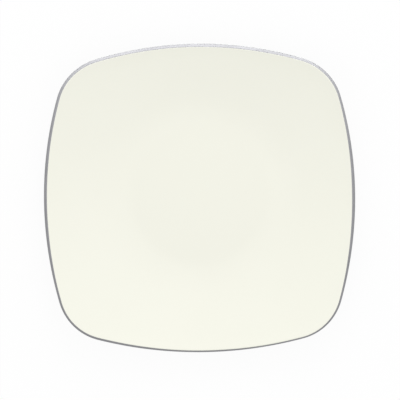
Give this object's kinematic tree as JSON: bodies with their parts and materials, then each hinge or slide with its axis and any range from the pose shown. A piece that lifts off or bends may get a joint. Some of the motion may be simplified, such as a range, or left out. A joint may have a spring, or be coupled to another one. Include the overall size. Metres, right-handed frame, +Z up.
{
  "type": "square serving platter",
  "caption": "Square stoneware serving platter with bowed sides, raised rounded corners, a shallow round well and a foot ring, glazed cream inside with a grey lip.",
  "frame": {"origin": "middle of the plane that the foot ring rests on", "axes": "+Z up through the middle of the well; X and Y run through the middles of the sides, with +Y towards the top of the picture"},
  "size_m": [0.298, 0.298, 0.0338],
  "materials": {
    "bare_clay": "matte",
    "cream_gloss_glaze": "gloss",
    "grey_satin_glaze": "satin",
    "grey_matt_glaze": "matte"
  },
  "bodies": {
    "root": {"stoneware_body": "bare_clay", "inner_glaze": "cream_gloss_glaze", "lip_band": "grey_satin_glaze", "outer_glaze": "grey_matt_glaze", "foot_recess_glaze": "grey_matt_glaze"}
  },
  "joints": []
}
